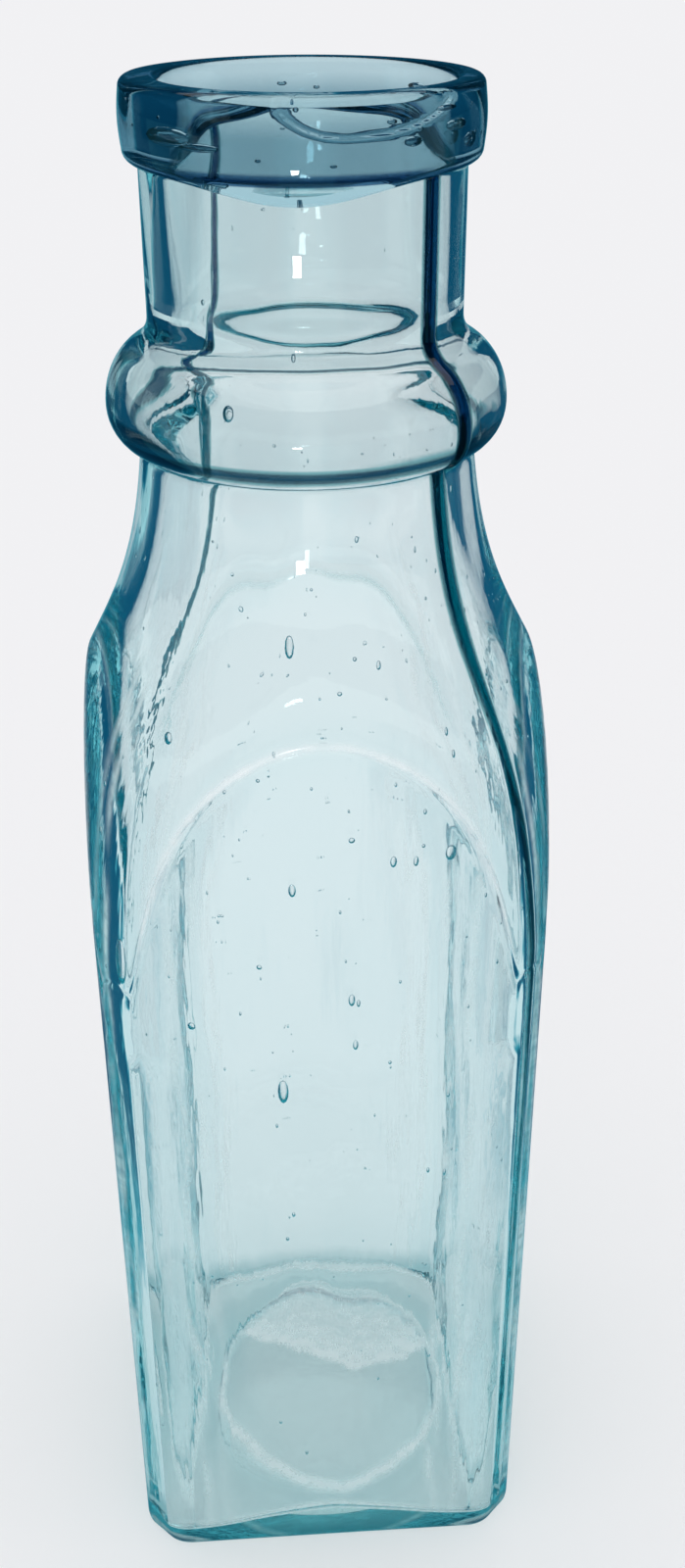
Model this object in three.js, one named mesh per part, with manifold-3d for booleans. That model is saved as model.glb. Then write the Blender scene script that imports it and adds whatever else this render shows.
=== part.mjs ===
// Square glass pickle bottle: flat sides that end in arches under a turned shoulder, a hollow ring, a round neck
// and a lip that was laid round the neck's end as a second gather of glass.
// Millimetres, +Z up. The origin is the middle of the foot, and one flat side faces -Y.
import * as THREE from "three";
import { mergeVertices } from "three/addons/utils/BufferGeometryUtils.js";
import Module from "manifold-3d";

// Square body
const BODY_WIDTH = 80.5;
const CORNER_CUT = 7; // what the flat on each corner takes off a side
const BODY_HEIGHT = 132; // from the foot to where the shoulder starts, upright, to round the corners
const BODY_WALL = 4;
const INNER_CORNER_RADIUS = 12;
const HEEL_ROUND = 1.5;

// Foot and floor
const PUSH_UP_RADIUS = 28;
const PUSH_UP_DEPTH = 4.5;
const FLOOR_THICKNESS = 5; // at the middle, above the push-up
const FLOOR_DOME_RADIUS = 138;
const FLOOR_FILLET = 3;

// Turned shoulder, whose edges against the flat sides are the arches
const SHOULDER_HEIGHT = 103.8;
const SHOULDER_WALL = 3.6;
const SHOULDER_FLARE = 0.3; // how far the shoulder's foot would pass outside the body's corners
const SHOULDER_RISE = 71.8; // height of the lower handle of its curve
const WAIST_LEAN = 3.8; // inward run of the upper handle
const WAIST_RISE = 45.4; // height of the upper handle

// Neck and the ring at its root
const NECK_RADIUS = 25.8;
const NECK_WALL = 3.85;
const NECK_HEIGHT = 27.1; // from the ring to the underside of the lip
const WAIST_STEP = 2.3; // how far the waist under the ring stands out from the neck
const RING_STANDOUT = 7.6; // how far the ring stands out from the neck
const RING_LOWER_HEIGHT = 6.5;
const RING_UPPER_HEIGHT = 10.6;
const RING_WALL = 2.7;

// Applied lip
const LIP_HEIGHT = 12;
const LIP_OVERHANG = 2.65; // how far the lip stands out from the neck
const LIP_CROWN = 5.5; // glass above the neck's sheared end
const LIP_BORE_FLARE = 0.8; // how much wider the mouth is than the neck's bore, on the radius
const LIP_LOWER_ROUND = 1.8;
const LIP_UPPER_ROUND = 1.2;
const FIT_GAP = 0.3; // between the lip and the neck

// Mould seams on two opposite corners
const SEAM_WIDTH = 1.6;
const SEAM_HEIGHT = 0.4;

// Glass
const GLASS_COLOUR = 0xa9d6d8;
const GLASS_ROUGHNESS = 0.06;

// Fineness of the curved surfaces
const TURN_STEPS = 48;
const CURVE_STEPS = 8;
const CORNER_STEPS = 3;
const MERGE_DISTANCE = 1e-4;
const CUT_MARGIN = 5; // how far a cutting form passes the surface it cuts

// Levels and radii worked out from the sizes above
const WAIST_LEVEL = BODY_HEIGHT + SHOULDER_HEIGHT;
const RING_LEVEL = WAIST_LEVEL + RING_LOWER_HEIGHT;
const NECK_LEVEL = RING_LEVEL + RING_UPPER_HEIGHT;
const LIP_LEVEL = NECK_LEVEL + NECK_HEIGHT;
const NECK_END = LIP_LEVEL + LIP_HEIGHT - LIP_CROWN - FIT_GAP;
const WAIST_RADIUS = NECK_RADIUS + WAIST_STEP;
const RING_RADIUS = NECK_RADIUS + RING_STANDOUT;
const BORE_RADIUS = NECK_RADIUS - NECK_WALL;
const CORNER_REACH = Math.hypot(BODY_WIDTH / 2, BODY_WIDTH / 2 - CORNER_CUT);
const SHOULDER_REACH = CORNER_REACH + SHOULDER_FLARE;
const TURNED_REACH = SHOULDER_REACH + CUT_MARGIN; // clear of the body's corners

const wasm = await Module();
wasm.setup();

// A closed geometry as a solid that can be joined and cut.
function solidOf(geometry) {
  geometry.deleteAttribute("normal");
  geometry.deleteAttribute("uv");
  const merged = mergeVertices(geometry, MERGE_DISTANCE);
  const corners = merged.index.array;
  const triangles = [];
  for (let i = 0; i < corners.length; i += 3) {
    const [a, b, c] = corners.slice(i, i + 3);
    if (a !== b && b !== c && c !== a) triangles.push(a, b, c);
  }
  return new wasm.Manifold(
    new wasm.Mesh({
      numProp: 3,
      vertProperties: merged.attributes.position.array,
      triVerts: new Uint32Array(triangles),
    }),
  );
}

function meshOf(solid, name) {
  const { vertProperties, triVerts } = solid.getMesh();
  const geometry = new THREE.BufferGeometry();
  geometry.setAttribute("position", new THREE.BufferAttribute(vertProperties, 3));
  geometry.setIndex(new THREE.BufferAttribute(triVerts, 1));
  geometry.computeVertexNormals();
  const glass = new THREE.MeshStandardMaterial({
    color: GLASS_COLOUR,
    roughness: GLASS_ROUGHNESS,
    metalness: 0,
  });
  const mesh = new THREE.Mesh(geometry, glass);
  mesh.name = name;
  return mesh;
}

// A profile of radius and height turned round the bottle's axis, without its repeated points.
function turned(profile) {
  const points = profile.filter((p, i) => i === 0 || p.distanceTo(profile[i - 1]) > MERGE_DISTANCE);
  return solidOf(new THREE.LatheGeometry(points, TURN_STEPS).rotateX(Math.PI / 2));
}

function point(radius, height) {
  return new THREE.Vector2(radius, height);
}

// Part of an ellipse in a profile, between two angles counted from straight out.
function arc(radius, height, across, along, from, to, steps = CURVE_STEPS) {
  return new THREE.EllipseCurve(radius, height, across, along, from, to, to < from).getPoints(steps);
}

// The shoulder's line, from outside the body's corners up to the waist, moved inwards by a wall.
function shoulderLine(wall) {
  const line = new THREE.CubicBezierCurve(
    point(SHOULDER_REACH, BODY_HEIGHT),
    point(SHOULDER_REACH, BODY_HEIGHT + SHOULDER_RISE),
    point(WAIST_RADIUS + WAIST_LEAN, WAIST_LEVEL - WAIST_RISE),
    point(WAIST_RADIUS, WAIST_LEVEL),
  );
  const steps = 2 * CURVE_STEPS;
  return Array.from({ length: steps + 1 }, (_, i) => {
    const along = line.getTangent(i / steps);
    return line.getPoint(i / steps).add(point(-along.y * wall, along.x * wall));
  });
}

// The ring's bulge between the waist and the neck, moved inwards by a wall.
function ringLine(waistRadius, neckRadius, wall) {
  const reach = RING_RADIUS - wall;
  return [
    ...arc(waistRadius, RING_LEVEL, reach - waistRadius, RING_LOWER_HEIGHT, -Math.PI / 2, 0),
    ...arc(neckRadius, RING_LEVEL, reach - neckRadius, RING_UPPER_HEIGHT, 0, Math.PI / 2),
  ];
}

// The outside above the foot as a turned form, which the square of the body then cuts.
function turnedOutside(grow) {
  return turned([
    point(0, 0),
    point(TURNED_REACH, 0),
    point(TURNED_REACH, BODY_HEIGHT),
    ...shoulderLine(-grow),
    ...ringLine(WAIST_RADIUS + grow, NECK_RADIUS + grow, -grow),
    point(NECK_RADIUS + grow, NECK_END),
    point(0, NECK_END),
  ]);
}

// The body's square with a flat on each corner, carried up past the neck.
function squareOutside(grow) {
  const half = BODY_WIDTH / 2 + grow;
  const flat = half - CORNER_CUT;
  const corners = [
    [half, -flat], [half, flat], [flat, half], [-flat, half],
    [-half, flat], [-half, -flat], [-flat, -half], [flat, -half],
  ];
  const outline = new THREE.Shape(corners.map(([x, y]) => point(x, y)));
  const geometry = new THREE.ExtrudeGeometry(outline, {
    depth: NECK_END,
    bevelThickness: HEEL_ROUND,
    bevelSize: HEEL_ROUND,
    bevelOffset: -HEEL_ROUND,
    bevelSegments: CORNER_STEPS,
  });
  return solidOf(geometry.translate(0, 0, HEEL_ROUND));
}

function outside(grow) {
  return turnedOutside(grow).intersect(squareOutside(grow));
}

// Two raised lines, where the halves of the mould met, up opposite corners to the underside of the lip.
function mouldSeams() {
  const height = LIP_LEVEL - FIT_GAP - HEEL_ROUND;
  const plate = new THREE.BoxGeometry(4 * TURNED_REACH, SEAM_WIDTH, height);
  plate.rotateZ(-Math.PI / 4);
  plate.translate(0, 0, HEEL_ROUND + height / 2);
  return outside(SEAM_HEIGHT).intersect(solidOf(plate));
}

// The inside as a turned form: domed floor, shoulder, the ring's hollow and the bore.
function turnedInside() {
  const floor = PUSH_UP_DEPTH + FLOOR_THICKNESS;
  const edge = Math.acos(TURNED_REACH / FLOOR_DOME_RADIUS);
  return turned([
    ...arc(0, floor - FLOOR_DOME_RADIUS, FLOOR_DOME_RADIUS, FLOOR_DOME_RADIUS, Math.PI / 2, edge),
    ...shoulderLine(SHOULDER_WALL),
    ...ringLine(WAIST_RADIUS - SHOULDER_WALL, BORE_RADIUS, RING_WALL),
    point(BORE_RADIUS, NECK_END + CUT_MARGIN),
    point(0, NECK_END + CUT_MARGIN),
  ]);
}

// The inside's square with round corners and a round edge at the floor.
function squareInside() {
  const half = BODY_WIDTH / 2 - BODY_WALL;
  const middle = half - INNER_CORNER_RADIUS;
  const outline = new THREE.Shape();
  [[1, -1], [1, 1], [-1, 1], [-1, -1]].forEach(([x, y], i) => {
    const from = (i - 1) * (Math.PI / 2);
    outline.absarc(x * middle, y * middle, INNER_CORNER_RADIUS, from, from + Math.PI / 2, false);
  });
  const geometry = new THREE.ExtrudeGeometry(outline, {
    depth: NECK_END,
    curveSegments: 2 * CORNER_STEPS,
    bevelThickness: FLOOR_FILLET,
    bevelSize: FLOOR_FILLET,
    bevelOffset: -FLOOR_FILLET,
    bevelSegments: CORNER_STEPS,
  });
  return solidOf(geometry.translate(0, 0, HEEL_ROUND + FLOOR_FILLET));
}

// The round hollow pushed up into the foot.
function pushUp() {
  const radius = (PUSH_UP_RADIUS ** 2 + PUSH_UP_DEPTH ** 2) / (2 * PUSH_UP_DEPTH);
  const rim = Math.acos(PUSH_UP_RADIUS / radius);
  return turned([
    point(0, -CUT_MARGIN),
    point(PUSH_UP_RADIUS, -CUT_MARGIN),
    ...arc(0, PUSH_UP_DEPTH - radius, radius, radius, rim, Math.PI / 2),
  ]);
}

function blownBody() {
  const inside = turnedInside().intersect(squareInside());
  const glass = outside(0).add(mouldSeams()).subtract(inside).subtract(pushUp());
  return meshOf(glass, "blown_body");
}

// The lip's section, from its own underside: a band round the neck with a crown over the neck's sheared end.
function appliedLip() {
  const seat = NECK_RADIUS + FIT_GAP;
  const outer = NECK_RADIUS + LIP_OVERHANG;
  const mouth = BORE_RADIUS + LIP_BORE_FLARE;
  const under = LIP_HEIGHT - LIP_CROWN;
  const low = LIP_LOWER_ROUND;
  const high = LIP_UPPER_ROUND;
  const band = turned([
    point(seat, 0),
    ...arc(outer - low, low, low, low, -Math.PI / 2, 0, CORNER_STEPS),
    ...arc(outer - high, LIP_HEIGHT - high, high, high, 0, Math.PI / 2, CORNER_STEPS),
    ...arc(mouth + high, LIP_HEIGHT - high, high, high, Math.PI / 2, Math.PI, CORNER_STEPS),
    point(mouth, under),
    point(seat, under),
    point(seat, 0),
  ]);
  const lip = meshOf(band, "applied_lip");
  lip.position.z = LIP_LEVEL;
  return lip;
}

const bottle = new THREE.Group();
bottle.add(blownBody(), appliedLip());

export default bottle;
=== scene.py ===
import math
import random

import bpy
import numpy as np
from mathutils import Matrix, Vector


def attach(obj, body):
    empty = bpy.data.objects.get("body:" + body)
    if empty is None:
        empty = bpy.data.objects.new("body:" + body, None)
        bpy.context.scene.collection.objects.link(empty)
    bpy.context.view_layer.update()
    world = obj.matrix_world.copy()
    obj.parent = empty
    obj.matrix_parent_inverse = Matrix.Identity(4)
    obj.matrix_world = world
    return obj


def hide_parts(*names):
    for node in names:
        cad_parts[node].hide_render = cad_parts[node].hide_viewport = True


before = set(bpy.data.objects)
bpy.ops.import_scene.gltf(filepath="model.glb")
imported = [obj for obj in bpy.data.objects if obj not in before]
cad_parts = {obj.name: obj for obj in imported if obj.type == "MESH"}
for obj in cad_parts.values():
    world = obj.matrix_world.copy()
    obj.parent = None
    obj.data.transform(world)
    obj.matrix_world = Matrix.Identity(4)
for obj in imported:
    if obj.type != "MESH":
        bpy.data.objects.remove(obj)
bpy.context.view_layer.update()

MM = 0.001

# Sizes of the bottle in millimetres, as in the solids.
BODY_WIDTH = 80.5
CORNER_CUT = 7
BODY_HEIGHT = 132
BODY_WALL = 4
HEEL_ROUND = 1.5
PUSH_UP_RADIUS = 28
PUSH_UP_DEPTH = 4.5
FLOOR_LEVEL = 9.5
FLOOR_FILLET = 3
SHOULDER_HEIGHT = 103.8
SHOULDER_WALL = 3.6
SHOULDER_FLARE = 0.3
SHOULDER_RISE = 71.8
WAIST_LEAN = 3.8
WAIST_RISE = 45.4
NECK_RADIUS = 25.8
NECK_WALL = 3.85
NECK_HEIGHT = 27.1
WAIST_STEP = 2.3
RING_STANDOUT = 7.6
RING_LOWER_HEIGHT = 6.5
RING_UPPER_HEIGHT = 10.6
RING_WALL = 2.7
LIP_HEIGHT = 12
LIP_OVERHANG = 2.65
LIP_BORE_FLARE = 0.8
LIP_LOWER_ROUND = 1.8
LIP_UPPER_ROUND = 1.4

# How soft the blown forms are, and how uneven the inside is.
EDGE_BLEND = 2.4
ARCH_BLEND = 0.4
INNER_BLEND = 6
INNER_CORNER_BLEND = 9
WAIST_SOFTENING = 0.9
COLLAR_SOFTENING = 6.5
INNER_SOFTENING = 5
INNER_COLLAR_SOFTENING = 12
COLLAR_ROOM = 2  # the collar's softening is reached this far below the neck
INNER_WAVE = 0.15
ARCH_GROOVE = 0.22  # a shallow hollow along the inside of each arch's edge
ARCH_GROOVE_PLACE = -1.1
ARCH_GROOVE_WIDTH = 0.6
BORE_SHIFT = 0.85  # the bore lies off the middle of the neck
PUSH_UP_POWER = 0.6
FLOOR_SAG = 4  # how far the floor falls from its middle to the middle of a side
FLOOR_POWER = 2.4
CORNER_FILLET_LOSS = 0.65  # the share of the floor's fillet that is lost towards the corners

# How closely the surfaces are divided, in rows up the bottle and columns round it.
FLAT_COLUMNS = 40
CORNER_COLUMNS = 42
CORNER_SPAN = (36, 54)  # degrees round from the middle of a side
PUSH_UP_ROWS = 22
FOOT_SHARES = (0.04, 0.1, 0.2, 0.5, 0.95)  # from the push-up to the heel
HEEL_ROWS = 6
BODY_ROWS = 26
ARCH_ROOM = 6  # how far each side of an arch's edge the close rows reach
ARCH_STEPS = (-4, -2.6, -1.8, -1.3, -0.9, -0.5, -0.2, 0, 0.2, 0.5, 0.9, 1.3, 1.8, 2.6, 4, 6)
MOST_STRETCH = 3  # of the close rows along an arch's steep legs
SHOULDER_ROWS = 22
WAIST_ROOM = 8  # how far below the waist the close rows of the profile start
OUTER_STEP = 0.9
INNER_STEP = 1.2
INNER_BODY_ROWS = 34
FILLET_ROWS = 7
FLOOR_ROWS = 50
LIP_EDGE_ROWS = 7
LIP_SIDE_ROWS = 10
MOUTH_ROWS = 26

# The mould's seams and the lip's unevenness.
SEAM_HALF_WIDTH = 1.05
SEAM_HEIGHT = 0.4
NECK_SEAM_GAIN = 0.6  # how much higher the seams are on the neck
SEAM_ANGLES = (45, 225)  # degrees round from the front, towards the right
LIP_SEAT_GAP = 0.02
LIP_SEAT_CLEARANCE = 0.05
LIP_INSET = 0.2
LIP_WAVE = 0.16
LIP_BULGE = 0.35
MOUTH_WAVE = 0.12
DRIP_DEPTH = 3
DRIP_ANGLE = -5
DRIP_SPREAD = 30
TONGUE_DEPTH = 5.5  # the glass that ran over the rim into the front of the mouth
TONGUE_ANGLE = 10
TONGUE_SPREADS = (24, 46)  # to its left and right
TONGUE_THICKNESS = 0.7
TONGUE_LIFT = 0.5
TONGUE_ROUND = (-0.3, 0.5)  # where its edge starts and ends, measured from its outline

# Unevenness: each has a seed, the most waves round the bottle and the height of its shortest wave.
INNER_RIPPLES = (3, 14, 60)
LIP_RIPPLES = (8, 7, 60)
MOUTH_RIPPLES = (9, 9, 14)
ARCH_WEAR_AND_HIGHLIGHT_RIPPLES = (21, 9, 60)
RING_SHADE_LINE_RIPPLES = (5, 9, 60)
STREAK_PLACE_RIPPLES = (3, 30)  # each streak has a seed of its own
STREAK_STRENGTH_RIPPLES = (9, 18)

# Worked out from the sizes above.
HALF = BODY_WIDTH / 2
WAIST_LEVEL = BODY_HEIGHT + SHOULDER_HEIGHT
RING_LEVEL = WAIST_LEVEL + RING_LOWER_HEIGHT
NECK_LEVEL = RING_LEVEL + RING_UPPER_HEIGHT
LIP_LEVEL = NECK_LEVEL + NECK_HEIGHT
TOP_LEVEL = LIP_LEVEL + LIP_HEIGHT
WAIST_RADIUS = NECK_RADIUS + WAIST_STEP
RING_RADIUS = NECK_RADIUS + RING_STANDOUT
BORE_RADIUS = NECK_RADIUS - NECK_WALL
LIP_RADIUS = NECK_RADIUS + LIP_OVERHANG
MOUTH_RADIUS = BORE_RADIUS + LIP_BORE_FLARE
CORNER_DISTANCE = (HALF + HALF - CORNER_CUT) / math.sqrt(2)
SHOULDER_REACH = math.hypot(HALF, HALF - CORNER_CUT) + SHOULDER_FLARE
SEAM_GAIN_LEVEL = WAIST_LEVEL - 20  # from here up to the waist the seams get higher

# Painted shade: dark lines along the seams and round the ring's underside, and a darker neck, ring and heel.
# Strengths go from 0 to 1, and fades are between two heights.
SEAM_SHADE_HALF = 0.45
SEAM_SHADE_FADE = (30, 150)
SEAM_SHADE_GROWTHS = ((0.75, 120, 200), (0.8, 185, SEAM_GAIN_LEVEL))  # how much wider, between two heights
RING_SHADE_LINE_LEVEL = RING_LEVEL - 3.6  # where a painted dark line of shade runs round the ring's underside
RING_SHADE_LINE_HALF = 1.4
RING_SHADE_LINE_WAVE = 0.15
RING_SHADE = 0.05
RING_SHADE_HALF = 7
NECK_SHADE = 0.08
NECK_SHADE_FADE = (WAIST_LEVEL - 6, RING_LEVEL)
HEEL_SHADE = 0.3
HEEL_SHADE_FADE = (4.5, 8)

# Wear under the foot, and whitish lines along the arches that are partly wear and partly a painted highlight.
# Pairs of rim values are for the back and the front.
ARCH_WEAR_AND_HIGHLIGHT = 0.55
ARCH_WEAR_AND_HIGHLIGHT_VARIES = 0.25
ARCH_WEAR_AND_HIGHLIGHT_LIMITS = (0.2, 0.8)
ARCH_WEAR_AND_HIGHLIGHT_HALF = 0.8
ARCH_WEAR_AND_HIGHLIGHT_END = (37.5, 39.5)  # degrees from the middle of a side
FOOT_WEAR = 0.4
FOOT_RIM_INSET = 1.4
FOOT_RIM_WAVES = ((0.35, 5, 1), (0.3, 11, 0))  # each a height, a number of crests and a start
FOOT_RIM_STRENGTHS = (0.5, 1)
FOOT_RIM_HALF = 1
FOOT_RIM_FADE = 1.5
FOOT_BORDER = (12, 6, 12, 12)  # its middle, swing, shift and length
FOOT_BORDER_HALF = 1.2
FOOT_BACK = 0.45
FOOT_LINE = 0.4
FOOT_LINE_HALF = 1.6

# The dried film on the floor inside, a painted highlight along the floor's fillet, and painted highlight
# streaks next to the inner corners.
RESIDUE_RADIUS = 27.9
RESIDUE_PLACE = (2, -1)
RESIDUE_BULGE = 1.2  # towards the corners
RESIDUE_RIM_WAVES = ((0.25, 9, 1), (0.2, 17, 0))
RESIDUE_RIM_STRENGTHS = (0.6, 1)
RESIDUE_RIM_HALVES = (0.6, 1.2)
RESIDUE_RIM_FADE = 2
RESIDUE_BORDER = (6.5, 7, 10, 11)
RESIDUE_BORDER_HALF = 1.5
RESIDUE_CRINKLE = 0.5
RESIDUE_CRINKLE_LENGTH = 1.7
RESIDUE_HAZE = 0.5
RESIDUE_BORDER_HAZE = 0.4
RESIDUE_HAZE_FALL = 4
RESIDUE_THIN = 0.06
FILLET_HIGHLIGHT = 0.9
FILLET_HIGHLIGHT_HALF = 2.2  # in rows
STREAKS = ((37, 1.1, 33), (31.5, 0.8, 35))  # degrees from a side's middle, half width in degrees, seed
STREAK_STRENGTH = 0.45
STREAK_VARIES = 0.3
STREAK_WANDER = 1.1
STREAK_LIMIT = 0.8
STREAK_FADE = (190, 214)

# Waves in the inside, which are stronger at its corners and fade towards the waist.
CORNER_WAVES = 0.9
CORNER_WAVES_SPAN = (28, 38)  # degrees from the middle of a side
WAVES_LOSS = 0.8
WAVES_FADE = (BODY_HEIGHT + 45, WAIST_LEVEL - 20)
WAVE_SCALE = (420, 420, 60)  # waves in a metre
WAVE_DETAIL = 2
WAVE_DEPTH = 0.25
WAVE_BUMP = 0.3

# Large bubbles: degrees round from the front, height, and their size across and up.
LARGE_BUBBLES = [
    (-8.5, 210.5, 1.5, 4.2), (16.5, 207, 0.8, 1.7), (5, 203.5, 0.8, 0.8), (7, 178.5, 1.1, 1.1),
    (-8, 169, 1.3, 2.6), (17, 174, 1.2, 2.2), (22, 174, 1, 2), (29, 175.5, 2.2, 3),
    (7, 145.5, 1.2, 2.6), (8, 135.5, 1, 2.2), (-11.5, 125.5, 2, 5.4), (-16.5, 153.5, 1, 1),
    (-44, 154, 2.6, 9.5), (-38.5, 194.5, 1.6, 2.4), (-31.5, 141.5, 1.6, 1.6), (-25, 247.5, 1.8, 2.6),
]
LARGE_BUBBLE_DEPTH = 1.9
LARGE_BUBBLE_FLATNESS = 0.45
# Hollows trapped when the lip was laid on: degrees round from the front, height, and size across, up and in.
LIP_HOLLOWS = [
    (-48, 285.6, 9, 2.6, 1.3), (-36, 284.6, 7, 1.2, 1), (33, 285.2, 3.2, 1.4, 1), (52, 286.6, 5, 1.6, 1.2),
    (61, 284.2, 4, 2.2, 1), (47, 289, 4.5, 0.8, 0.8), (128, 288, 5, 1.2, 1), (205, 286, 6, 1.4, 1),
]
LIP_HOLLOW_RADIUS = 0.5 * (LIP_RADIUS + MOUTH_RADIUS) + 0.6
# Small bubbles, placed by random draws.
SMALL_BUBBLES = 400
SMALL_BUBBLE_SEED = 11
SMALL_SIZES = (0.25, 0.3, 0.35, 0.45, 0.65)
SMALL_STRETCH = (1, 2.6)
SMALL_DEPTHS = (1, 2.4)
SMALL_HEIGHTS = (14, LIP_LEVEL - 4, 200)  # lowest, highest and most common
SMALL_FLATNESS = 0.7
LIP_SMALL_BUBBLES = 26
LIP_BUBBLE_SEED = 12
LIP_SMALL_SIZES = (0.3, 0.8)
LIP_SMALL_STRETCH = (1, 2.5)
LIP_SMALL_RADII = (MOUTH_RADIUS + 1.5, LIP_RADIUS - 1.2)
LIP_SMALL_HEIGHTS = (LIP_LEVEL + 2, TOP_LEVEL - 1.6)
BUBBLE_SIDES = 10
BUBBLE_BANDS = 6

# Glass: the colour that it lets through, how strongly it absorbs, and its tints.
GLASS_IOR = 1.51
BODY_GLASS = (0, 0.79, 0.85)
BODY_DENSITY = 24
# The lip's glass absorbs more than the body's: partly deeper glass, partly painted shade.
LIP_GLASS = (0, 0.5, 0.62)
LIP_DENSITY = 42
SHADOW_COLOUR = (0.94, 0.905, 0.9)
# Whitening of the glass, for wear, film and painted highlights alike.
FROST_AND_HIGHLIGHT_ROUGHNESS = 0.5
FROST_AND_HIGHLIGHT_OPACITY = 0.9
FROST_AND_HIGHLIGHT_GRAIN = 420  # patches in a metre
FROST_AND_HIGHLIGHT_GRAIN_DETAIL = 4
FROST_AND_HIGHLIGHT_GRAIN_RANGE = (0.35, 0.62)
FROST_AND_HIGHLIGHT_LEAST = 0.6
# Painted shade: the tints for the dark lines and the darker neck, ring and heel, a faint teal first and then
# a dark one.
CLEAR = (1, 1, 1)
FAINT_TINT = (0.15, 0.5, 0.55)
FAINT_TINT_GAIN = 2.5  # how much sooner the faint tint comes than the dark one
SHOULDER_TINT = (0, 0.013, 0.026)
NECK_TINT = (0, 0.001, 0.012)
NECK_TINT_SPAN = (WAIST_LEVEL - 4, WAIST_LEVEL + 6)
DRIP_TINT = (0.85, 0.92, 0.93)
LIP_SHADE_LINE_TINT = (0.01, 0.045, 0.12)
LIP_DEEP_TINT = (0.3, 0.46, 0.53)
LIP_RIM_LIGHT_TINT = (0.66, 0.8, 0.84)
# The lip's tints by height over its underside: painted shade as a dark line where it meets the neck's end and
# a deep tint above that, and painted light towards the rim.
LIP_TINTS = [
    (-0.15, DRIP_TINT), (0, LIP_SHADE_LINE_TINT), (0.9, LIP_SHADE_LINE_TINT),
    (1.35, LIP_DEEP_TINT), (6, LIP_DEEP_TINT), (9.75, LIP_RIM_LIGHT_TINT),
]

# The camera, fitted to the photograph: its place in millimetres, its turns and its focal length in pixels.
CAMERA_PLACE = (-12.0, -268.3, 319.9)
CAMERA_AZIMUTH = math.radians(3.796)
CAMERA_DOWN = math.radians(29.609)
CAMERA_ROLL = math.radians(-0.212)
CAMERA_FOCUS = 1655.7
CAMERA_CLIP = 10
IMAGE_HEIGHT = 1600

# The studio, in millimetres.
FLOOR_HALF = 20000
FLOOR_DROP = 0.2
FLOOR_COLOUR = (0.9, 0.895, 0.9)
FLOOR_MIRROR_DARK = 0.7
STAGE_ROUGHNESS = 0.9
WORLD_COLOUR = (0.98, 0.985, 1)
WORLD_STRENGTH = 1
KEY_PLACE = (-30, -230, 225)
KEY_SIZE = (20, 6)
KEY_AIM = (0, 0, 170)
KEY_POWER = 0.025
DARK_RADIUS = 3000
DARK_SPAN = (math.radians(16), math.radians(50))
DARK_RIM_SPAN = (math.radians(2.8), math.radians(16))
DARK_SIDES = 48
DARK_COLOUR = (0.006, 0.09, 0.17)
DARK_BETWEEN = (0.06, 0.36, 0.45)  # on the way from the pale floor to the dark colour
DARK_BETWEEN_PLACE = 0.55
DARK_DIAGONAL = (0.2, 0.34)  # of x times y over their squares, which is 0.5 on the diagonals
DARK_DISTANCE = (60, 130)
MOST_BOUNCES = 32


def smooth_min(a, b, blend):
    share = np.clip(0.5 + 0.5 * (b - a) / blend, 0, 1)
    return b + (a - b) * share - blend * share * (1 - share)


def smooth_step(value, low, high):
    share = np.clip((value - low) / (high - low), 0, 1)
    return share * share * (3 - 2 * share)


def bell(value, half, power=2):
    """1 in the middle, falling off at a half width; a higher power makes its sides steeper."""
    return np.exp(-((value / half) ** power))


def turn_angles():
    """Angles round from the front in radians, closest together at the corners, where edges and seams are."""
    start, end = CORNER_SPAN
    flat = np.radians(np.linspace(-start, start, FLAT_COLUMNS))
    corner = np.radians(np.linspace(start, end, CORNER_COLUMNS))[1:-1]
    side = np.concatenate([flat, corner])
    return np.concatenate([side + k * math.pi / 2 for k in range(4)])


ANGLES = turn_angles()
ONES = np.ones_like(ANGLES)


def away_from(degrees):
    """How far each angle is from a direction, in radians, from -pi to pi."""
    return (ANGLES - math.radians(degrees) + math.pi) % (2 * math.pi) - math.pi


def ring_points(radius, height, shift=0):
    """One row of points round the bottle; shift moves the row to the right."""
    return np.column_stack([radius * np.sin(ANGLES) + shift, -radius * np.cos(ANGLES), height * ONES])


def folded(angles):
    """The angle from the middle of the nearest flat side, from 0 to 45 degrees."""
    return np.abs((angles + math.pi / 4) % (math.pi / 2) - math.pi / 4)


def cut_square(angles, wall, blend):
    """Radius of the body's square with its cut corners, moved inwards by a wall."""
    fold = folded(angles)
    side = (HALF - wall) / np.cos(fold)
    corner = (CORNER_DISTANCE - wall) / np.cos(math.pi / 4 - fold)
    return smooth_min(side, corner, blend)


def shoulder_line(wall, steps=60):
    """The shoulder's radii and heights from the body up to the waist, moved inwards by a wall."""
    points = np.array([
        (SHOULDER_REACH, BODY_HEIGHT),
        (SHOULDER_REACH, BODY_HEIGHT + SHOULDER_RISE),
        (WAIST_RADIUS + WAIST_LEAN, WAIST_LEVEL - WAIST_RISE),
        (WAIST_RADIUS, WAIST_LEVEL),
    ])
    t = np.linspace(0, 1, steps)[:, None]
    weights = np.hstack([(1 - t) ** 3, 3 * t * (1 - t) ** 2, 3 * t**2 * (1 - t), t**3])
    line = weights @ points
    along = np.gradient(line, axis=0)
    along /= np.linalg.norm(along, axis=1)[:, None]
    return line + wall * np.column_stack([-along[:, 1], along[:, 0]])


def ring_line(waist, neck, wall, steps=24):
    """The ring's bulge between waist and neck, moved inwards by a wall."""
    reach = RING_RADIUS - wall
    turn = np.linspace(0, math.pi / 2, steps)
    lower = [waist + (reach - waist) * np.sin(turn), RING_LEVEL - RING_LOWER_HEIGHT * np.cos(turn)]
    upper = [neck + (reach - neck) * np.cos(turn), RING_LEVEL + RING_UPPER_HEIGHT * np.sin(turn)]
    return np.vstack([np.column_stack(lower), np.column_stack(upper)[1:]])


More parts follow.
